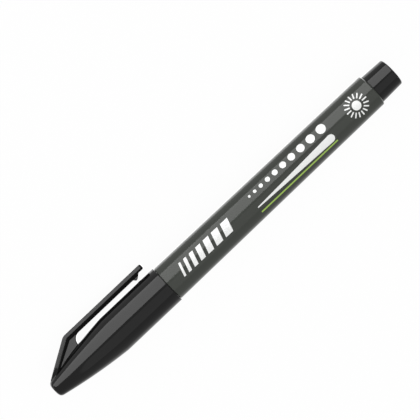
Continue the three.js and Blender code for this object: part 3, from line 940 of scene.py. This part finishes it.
soft_plastic, soft_tree, soft_shader = new_material("soft_plastic")
stain = ranged(soft_tree, fine_noise(soft_tree, STAIN_STRETCH, detail=4.0), STAIN_EDGE)
soft_colour = mixed_colour(soft_tree, stain, MILKY, INK_STAIN)
soft_skin = placed_effect(soft_tree, moulded_skin, Flow=1.0, Peel=1.5)
soft_relief = bumped(soft_tree, soft_skin.outputs["Height"], SOFT_SKIN_DEPTH)
soft_tree.links.new(soft_colour, soft_shader.inputs["Base Color"])
soft_tree.links.new(soft_relief, soft_shader.inputs["Normal"])
soft_shader.inputs["Roughness"].default_value = SOFT_ROUGHNESS
inner_cap = turned("seal_cup", inner_outline)
put_in(smoothed(inner_cap), soft_plastic, "inner_cap", "cap")

# Cap: black polypropylene, moulded in one with its clip. The shell is straight over the nose
# section and tapers to a blunt nose; its lead-in and a shallow ring inside meet the snap bead.
CAP_MOUTH_ROUND = 0.2
CAP_LEAD_IN = 0.25
CAP_SNAP_GROOVE = 0.12
TAPER_END_ROUND = 8.0
TAPER_END_LENGTH = 1.5
SLOPE_STEP = 0.1
SNAP_RING_STEPS = 8

cap_mouth_x = -CAP_GAP
nose_face = [
    Vector((cap_nose_x, 0)),
    Vector((cap_nose_x + CAP_NOSE_DOME / 3, (CAP_NOSE_RADIUS - CAP_NOSE_CORNER) / 2)),
    Vector((cap_nose_x + CAP_NOSE_DOME, CAP_NOSE_RADIUS - CAP_NOSE_CORNER)),
]
nose_corner = quadratic(
    nose_face[-1],
    (cap_nose_x + CAP_NOSE_DOME, taper_radius(cap_nose_x)),
    (taper_start_x, CAP_NOSE_RADIUS),
    2 * ARC_STEPS,
)
taper_end_slope = (taper_radius(cone_x) - taper_radius(cone_x - SLOPE_STEP)) / SLOPE_STEP
taper_end_x = cone_x - TAPER_END_LENGTH
taper_kink = softened(
    [
        (taper_end_x, cap_radius - TAPER_END_LENGTH * taper_end_slope, 0),
        (cone_x, cap_radius, TAPER_END_ROUND),
        (cap_mouth_x, cap_radius, CAP_MOUTH_ROUND),
        (cap_mouth_x, cap_bore + CAP_LEAD_IN, 0),
        (cap_mouth_x, 0, 0),
    ],
    closed=False,
)
shell_outline = nose_face + nose_corner
shell_outline += [
    p for p in taper(taper_start_x, 0) if taper_start_x < p.x < taper_end_x - SLOPE_STEP
]
shell_outline += taper_kink[1:]
cap = turned("cap_shell", shell_outline)

cavity_start = cap_nose_x + CAP_NOSE_WALL
ring_start = SNAP_BEAD_X - SNAP_BEAD_WIDTH
ring_end = SNAP_BEAD_X + SNAP_BEAD_WIDTH
cavity_outline = [Vector((cavity_start, 0))] + taper(cavity_start, CAP_TAPER_WALL)
cavity_outline += softened([(cone_x, cap_bore, 0), (ring_start, cap_bore, 0)], closed=False)
ring_top = (SNAP_BEAD_X, cap_bore + 2 * CAP_SNAP_GROOVE)
cavity_outline += quadratic(
    (ring_start, cap_bore), ring_top, (ring_end, cap_bore), SNAP_RING_STEPS
)
cavity_outline += [
    Vector((cap_mouth_x - CAP_LEAD_IN, cap_bore)),
    Vector((cap_mouth_x, cap_bore + CAP_LEAD_IN)),
    Vector((cap_mouth_x + CAP_LEAD_IN, cap_bore + CAP_LEAD_IN)),
    Vector((cap_mouth_x + CAP_LEAD_IN, 0)),
]
cavity = turned("cap_cavity", cavity_outline)

# Clip: a flanged beam that rises from the nose, bends and runs along the cap. A web joins
# its root to the shell as far as the slot, and a bead under its end grips a pocket's cloth.
CLIP_GAP = 1.3
CLIP_DEPTH = 2.26
CLIP_EDGE_HEIGHT = 1.09
CLIP_EDGE_ROUND = 0.3
CLIP_SLOPE_EDGE_HEIGHT = 1.28
CLIP_EDGE_LEAN = 0.1
CLIP_LOWER_ROUND = 0.1
CLIP_UNDER_ROUND = 0.2
CLIP_WIDTH = 4.0
CLIP_ROOT_WIDTH = 2.2
CLIP_WEB_WIDTH = 2.08
CLIP_WEB_DRAFT = math.radians(5)
CLIP_WEB_ROUND = 0.2
CLIP_SLOPE = math.radians(31)
CLIP_BEND_RADIUS = 3.0
CLIP_BEND_STEPS = 12
CLIP_BEND_MARGIN = 0.3
CLIP_START = 1.15
CLIP_WIDENING = 4.0
CLIP_WIDENING_STEPS = 8
CLIP_END_INSET = 1.9
CLIP_TIP_LENGTH = 2.1
CLIP_TIP_DEPTH = 1.72
CLIP_TIP_ROUND = 0.45
CLIP_TIP_CORNER = 0.9
SLOT_INSET = 1.7
SLOT_RADIUS = 2.65
SLOT_STEPS = 14
SLOT_EDGE_LENGTH = 0.8
CLIP_BEAD_GAP = 0.3
CLIP_BEAD_FRONT = 0.9
CLIP_BEAD_REAR = 1.8
CLIP_BEAD_STRAIGHT = 0.5
ROOT_FILLET = 1.0
FILLET_STATIONS = 36
FLANGE_FILLET_ROOM = 0.8
FILLET_SINK = 0.012
FILLET_START = 5.6
FILLET_END_GAP = 0.02
FILLET_LEAST_ROOM = 0.06
FILLET_LEAST_SHARE = 0.01
FILLET_INTO_CLIP = 0.25
FILLET_INTO_SHELL = 0.3
FLANGE_TRIES = 6

clip_height = cap_radius + CLIP_GAP + CLIP_DEPTH
clip_end_x = cap_mouth_x - CLIP_END_INSET
clip_tip_x = clip_end_x - CLIP_TIP_LENGTH
clip_root = Vector((cap_nose_x + CLIP_START, taper_radius(cap_nose_x + CLIP_START), 0))
clip_rise = clip_height - clip_root.y
clip_corner = clip_root + Vector((clip_rise / math.tan(CLIP_SLOPE), clip_rise, 0))
slot_x = clip_corner.x + SLOT_INSET
slot_top = clip_height - CLIP_DEPTH
wide = clip_root.lerp(clip_corner, CLIP_WIDENING / (clip_corner.x - cap_nose_x))


def inward(slope):
    return Vector((math.sin(slope), -math.cos(slope), 0))


inward_at_corner = Vector((math.tan(CLIP_SLOPE / 2), -1, 0))
bend_centre = clip_corner + inward_at_corner * CLIP_BEND_RADIUS


def beam_ring(point, down, half_width, depth, inset=0.0, edge_height=CLIP_EDGE_HEIGHT):
    """The beam's cross-section: a flange with rounded edges, its underside sloped in."""
    web_share = (depth - CLIP_EDGE_HEIGHT) / (CLIP_DEPTH - CLIP_EDGE_HEIGHT)
    under = lerp(half_width, CLIP_WEB_WIDTH / 2, web_share)
    half = [
        (half_width - CLIP_EDGE_LEAN, inset, CLIP_EDGE_ROUND),
        (half_width, edge_height - inset / 2, CLIP_LOWER_ROUND),
        (under, depth - inset, CLIP_UNDER_ROUND),
    ]
    whole = half + [(-z, deep, rounding) for z, deep, rounding in reversed(half)]
    return [point + down * deep + Vector((0, 0, z)) for z, deep in softened(whole)]


def flange_half(share):
    """Half the flange's width where it widens, a share of the way from root to full width."""
    return lerp(CLIP_WIDTH / 2, CLIP_ROOT_WIDTH / 2, (1 - share) ** 2)


def clip_beam(shape):
    half_width = CLIP_WIDTH / 2
    up_slope = (clip_corner - clip_root).normalized()
    on_slope = []
    for step in range(CLIP_WIDENING_STEPS + 1):
        share = step / CLIP_WIDENING_STEPS
        on_slope.append((clip_root.lerp(wide, share), flange_half(share)))
    on_slope.append((wide + up_slope * CLIP_BEND_MARGIN, half_width))
    rings = []
    for point, half in on_slope:
        down = inward(CLIP_SLOPE)
        rings.append(
            beam_ring(point, down, half, CLIP_DEPTH, edge_height=CLIP_SLOPE_EDGE_HEIGHT)
        )
    for step in range(CLIP_BEND_STEPS + 1):
        share = step / CLIP_BEND_STEPS
        down = inward(CLIP_SLOPE * (1 - share))
        point = bend_centre - down * CLIP_BEND_RADIUS
        edge_height = lerp(CLIP_SLOPE_EDGE_HEIGHT, CLIP_EDGE_HEIGHT, share)
        rings.append(beam_ring(point, down, half_width, CLIP_DEPTH, edge_height=edge_height))
    down = inward(0)
    for x, depth in ((clip_tip_x - CLIP_BEAD_REAR / 2, CLIP_DEPTH), (clip_tip_x, CLIP_TIP_DEPTH)):
        rings.append(beam_ring(Vector((x, clip_height, 0)), down, half_width, depth))
    for step in range(2 * ARC_STEPS + 1):
        angle = step / (2 * ARC_STEPS) * math.pi / 2
        from_end = CLIP_TIP_CORNER * (1 - math.sin(angle))
        round_share = max(0.0, 1 - from_end / CLIP_TIP_ROUND)
        inset = CLIP_TIP_ROUND * (1 - math.sqrt(1 - round_share**2))
        narrowed = half_width - CLIP_TIP_CORNER * (1 - math.cos(angle))
        point = Vector((clip_end_x - from_end, clip_height, 0))
        rings.append(beam_ring(point, down, narrowed, CLIP_TIP_DEPTH, inset))
    skin(shape, rings)


def web_half(height):
    """Half the web's thickness, which its draft widens towards the axis."""
    return CLIP_WEB_WIDTH / 2 + (slot_top - height) * math.tan(CLIP_WEB_DRAFT)


def pillow_plate(shape, side, free, rounding):
    """A plate about the clip's middle plane, from its side view, thicker towards the cap.
    The points numbered in free are its open edge, which is rounded off on both faces."""
    outline = [Vector(p) for p in side]
    shifts = {}
    for i in free:
        step = outline[(i + 1) % len(outline)] - outline[i - 1]
        shifts[i] = Vector((-step.y, step.x)).normalized()
    levels = [(rounding + SUPPORT_DISTANCE, 0.0)]
    for step in range(ARC_STEPS + 1):
        angle = step / ARC_STEPS * math.pi / 2
        levels.append((rounding * (1 - math.sin(angle)), rounding * (1 - math.cos(angle))))
    rings = []
    for side_sign, order in ((-1, levels), (1, reversed(levels))):
        for shift, narrower in order:
            ring = []
            for i, point in enumerate(outline):
                moved = point + shifts[i] * shift if i in shifts else point
                ring.append((moved.x, moved.y, side_sign * (web_half(moved.y) - narrower)))
            rings.append(ring)
    skin(shape, rings)


def clip_web(shape):
    buried = CLIP_EDGE_HEIGHT / 2
    top = clip_root + inward(CLIP_SLOPE) * buried
    corner = clip_corner + inward_at_corner * buried
    arc_centre = Vector((slot_x + SLOT_RADIUS, slot_top - SLOT_RADIUS))
    side = [(slot_x, 0.0), (slot_x, arc_centre.y - SLOT_EDGE_LENGTH)]
    for step in range(SLOT_STEPS + 1):
        angle = math.pi - step / SLOT_STEPS * math.pi / 2
        side.append(arc_centre + SLOT_RADIUS * Vector((math.cos(angle), math.sin(angle))))
    free = range(len(side))
    side += [(arc_centre.x, clip_height - buried), corner.xy, top.xy, (top.x, 0.0)]
    pillow_plate(shape, side, free, CLIP_WEB_ROUND)


def clip_bead(shape):
    point = Vector((clip_tip_x - CLIP_BEAD_REAR, cap_radius + CLIP_BEAD_GAP))
    front = Vector((point.x - CLIP_BEAD_FRONT, slot_top))
    rear = Vector((clip_tip_x, clip_height - CLIP_TIP_DEPTH))
    buried = clip_height - CLIP_EDGE_HEIGHT
    near_front = front.lerp(point, CLIP_BEAD_STRAIGHT)
    near_rear = rear.lerp(point, CLIP_BEAD_STRAIGHT)
    side = [front, front.lerp(near_front, 0.5), near_front]
    side += quadratic(near_front, point, near_rear, 2 * ARC_STEPS)
    side += [near_rear.lerp(rear, 0.5), rear]
    free = range(1, len(side) - 1)
    side += [Vector((rear.x, buried)), Vector((front.x, buried))]
    pillow_plate(shape, side, free, CLIP_WEB_ROUND)


def run_out(distance):
    """How a fillet's radius grows from nothing, over a distance from its end."""
    share = 1 - max(0.0, 1 - distance / ROOT_FILLET) ** 2
    return math.sqrt(max(FILLET_LEAST_SHARE, share))


def web_foot():
    """Places along the foot of the web: how far along, the web's side, the fillet's radius."""
    first_x = clip_root.x + FILLET_START
    last_x = slot_x - FILLET_END_GAP
    places = []
    for station in range(FILLET_STATIONS + 1):
        x = lerp(first_x, last_x, station / FILLET_STATIONS)
        surface = taper_radius(x)
        beam_under = clip_root.y + (x - clip_root.x) * math.tan(CLIP_SLOPE)
        beam_under = min(beam_under - CLIP_DEPTH / math.cos(CLIP_SLOPE), slot_top)
        wall = web_half(surface)
        height = beam_under - math.sqrt(surface**2 - wall**2)
        radius = min(ROOT_FILLET, max(FILLET_LEAST_ROOM, height))
        places.append((x, wall, radius * run_out(last_x - x)))
    return places


def flange_foot():
    """The same along the foot of the flange, as far as its edge lies on the shell."""
    places = []
    for station in range(FILLET_STATIONS):
        share = station / FILLET_STATIONS
        half = flange_half(share)
        depth = 0.0
        for _ in range(FLANGE_TRIES):
            point = clip_root.lerp(wide, share) + inward(CLIP_SLOPE) * depth
            surface = math.sqrt(taper_radius(point.x) ** 2 - half**2)
            depth += (point.y - surface) / math.cos(CLIP_SLOPE)
        if depth > CLIP_SLOPE_EDGE_HEIGHT:
            break
        wall = half - CLIP_EDGE_LEAN * (1 - depth / CLIP_SLOPE_EDGE_HEIGHT)
        wall = max(wall, web_half(point.y))
        room = FLANGE_FILLET_ROOM * max(FILLET_LEAST_ROOM, depth)
        left = CLIP_SLOPE_EDGE_HEIGHT - depth
        places.append((point.x, wall, min(ROOT_FILLET, room) * run_out(left)))
    return places


def root_fillet(shape, side_sign, places):
    """The small radius between the clip and the shell, along these places."""
    rings = []
    for x, wall, radius in places:
        surface = taper_radius(x) - FILLET_SINK
        centre = Vector((wall + radius, 0))
        centre.y = math.sqrt((surface + radius) ** 2 - centre.x**2)
        sweep = math.atan2(centre.y, centre.x)
        ring = [Vector((wall - FILLET_INTO_CLIP, centre.y))]
        for step in range(ARC_STEPS + 1):
            angle = math.pi + sweep * step / ARC_STEPS
            ring.append(centre + radius * Vector((math.cos(angle), math.sin(angle))))
        ring.append(ring[-1] * (surface - FILLET_INTO_SHELL) / surface)
        ring.append(Vector((wall - FILLET_INTO_CLIP, ring[-1].y)))
        rings.append([(x, y, side_sign * z) for z, y in ring])
    skin(shape, rings)


clip = body_from("clip", clip_beam)
joined(clip, body_from("web", clip_web))
joined(clip, body_from("bead", clip_bead))
for fillet_places in (web_foot(), flange_foot()):
    for fillet_side in (-1, 1):
        fillet = body_from("fillet", lambda shape: root_fillet(shape, fillet_side, fillet_places))
        joined(clip, fillet)
joined(cap, clip)
joined(cap, cavity, "DIFFERENCE")
put_in(smoothed(cap), black_plastic, "cap", "cap")

# Table and light: a plain white table top keeps the marker's soft shadow. The plastic mirrors a
# soft box that stands beside the clip, a card lying at its foot and a narrow one under the
# marker; a weak side light and an even light from above light the marker itself.
TABLE_SIZE = 12.0
TABLE_WHITE = (0.93, 0.93, 0.93, 1)
TABLE_GLOW = 0.96
SOFT_BOX_DISTANCE = 0.62
SOFT_BOX_LENGTH = 1.19
SOFT_BOX_HEIGHT = 0.853
SOFT_BOX_RADIANCE = 4.5
WIDE_CARD_START = 0.051
CARD_LIFT = 0.0001
NEAR_CARD_PLACE = Vector((0, 0.0029, CARD_LIFT))
NEAR_CARD_LENGTH = 0.16
NEAR_CARD_WIDTH = 0.009
NEAR_CARD_RADIANCE = 1.5
SIDE_LIGHT_DISTANCE = 0.62
SIDE_LIGHT_ANGLE = math.radians(28)
SIDE_LIGHT_LENGTH = 0.95
SIDE_LIGHT_HEIGHT = 0.63
SIDE_LIGHT_RADIANCE = 0.5
TOP_LIGHT_SIZE = 1.25
TOP_LIGHT_HEIGHT = 1.3
TOP_LIGHT_PLACE = -0.07
TOP_LIGHT_RADIANCE = 0.5
ROOM_GREY = 0.72

half_table = TABLE_SIZE / 2
table_sides = ((-1, -1), (1, -1), (1, 1), (-1, 1))
table_corners = [(x * half_table, y * half_table, 0) for x, y in table_sides]
table_mesh = bpy.data.meshes.new("table")
table_mesh.from_pydata(table_corners, [], [(0, 1, 2, 3)])
table = bpy.data.objects.new("table", table_mesh)
bpy.context.scene.collection.objects.link(table)

table_material = bpy.data.materials.new("table")
table_material.use_nodes = True
table_tree = table_material.node_tree
table_tree.nodes.clear()
table_lit = node(table_tree, "ShaderNodeBsdfDiffuse", {"Color": TABLE_WHITE})
table_white = node(table_tree, "ShaderNodeEmission", {"Color": (1, 1, 1, 1), "Strength": 1.0})
table_path = node(table_tree, "ShaderNodeLightPath")
table_seen = table_path.outputs["Is Camera Ray"]
for table_ray in ("Is Glossy Ray", "Is Transmission Ray"):
    table_seen = math_node(table_tree, "MAXIMUM", table_seen, table_path.outputs[table_ray])
table_share = math_node(table_tree, "MULTIPLY", table_seen, TABLE_GLOW)
table_mix = node(table_tree, "ShaderNodeMixShader", {"Fac": table_share})
table_tree.links.new(table_lit.outputs["BSDF"], table_mix.inputs[1])
table_tree.links.new(table_white.outputs["Emission"], table_mix.inputs[2])
table_out = node(table_tree, "ShaderNodeOutputMaterial")
table_tree.links.new(table_mix.outputs["Shader"], table_out.inputs["Surface"])
table_mesh.materials.append(table_material)


def area_light(name, place, back, width, height, radiance):
    """A rectangular lamp of an even radiance, its width along X, hidden from the camera."""
    data = bpy.data.lights.new(name, "AREA")
    data.shape = "RECTANGLE"
    data.size = width
    data.size_y = height
    data.energy = radiance * math.pi * width * height
    lamp = bpy.data.objects.new(name, data)
    bpy.context.scene.collection.objects.link(lamp)
    lamp.matrix_world = facing(place, Vector((1, 0, 0)), back)
    lamp.visible_camera = False
    return lamp


def reflected_light(name, place, back, width, height, radiance):
    """A lamp that only shows where the plastic mirrors it."""
    area_light(name, place, back, width, height, radiance).visible_diffuse = False


upwards = Vector((0, 0, 1))
wide_card_width = SOFT_BOX_DISTANCE - WIDE_CARD_START
side_light_back = Vector((0, math.cos(SIDE_LIGHT_ANGLE), math.sin(SIDE_LIGHT_ANGLE)))
reflected_light(
    "soft_box",
    Vector((0, SOFT_BOX_DISTANCE, SOFT_BOX_HEIGHT / 2)),
    Vector((0, 1, 0)),
    SOFT_BOX_LENGTH,
    SOFT_BOX_HEIGHT,
    SOFT_BOX_RADIANCE,
)
reflected_light(
    "wide_card",
    Vector((0, WIDE_CARD_START + wide_card_width / 2, CARD_LIFT)),
    -upwards,
    SOFT_BOX_LENGTH,
    wide_card_width,
    SOFT_BOX_RADIANCE,
)
reflected_light(
    "near_card",
    NEAR_CARD_PLACE,
    -upwards,
    NEAR_CARD_LENGTH,
    NEAR_CARD_WIDTH,
    NEAR_CARD_RADIANCE,
)
side_light = area_light(
    "side_light",
    SIDE_LIGHT_DISTANCE * side_light_back,
    side_light_back,
    SIDE_LIGHT_LENGTH,
    SIDE_LIGHT_HEIGHT,
    SIDE_LIGHT_RADIANCE,
)
side_light.visible_glossy = False
area_light(
    "top_light",
    Vector((0, TOP_LIGHT_PLACE, TOP_LIGHT_HEIGHT)),
    upwards,
    TOP_LIGHT_SIZE,
    TOP_LIGHT_SIZE,
    TOP_LIGHT_RADIANCE,
)

world = bpy.data.worlds.new("room")
world.use_nodes = True
world.node_tree.nodes["Background"].inputs["Color"].default_value = (ROOM_GREY,) * 3 + (1,)
bpy.context.scene.world = world
bpy.context.scene.view_settings.view_transform = "Standard"
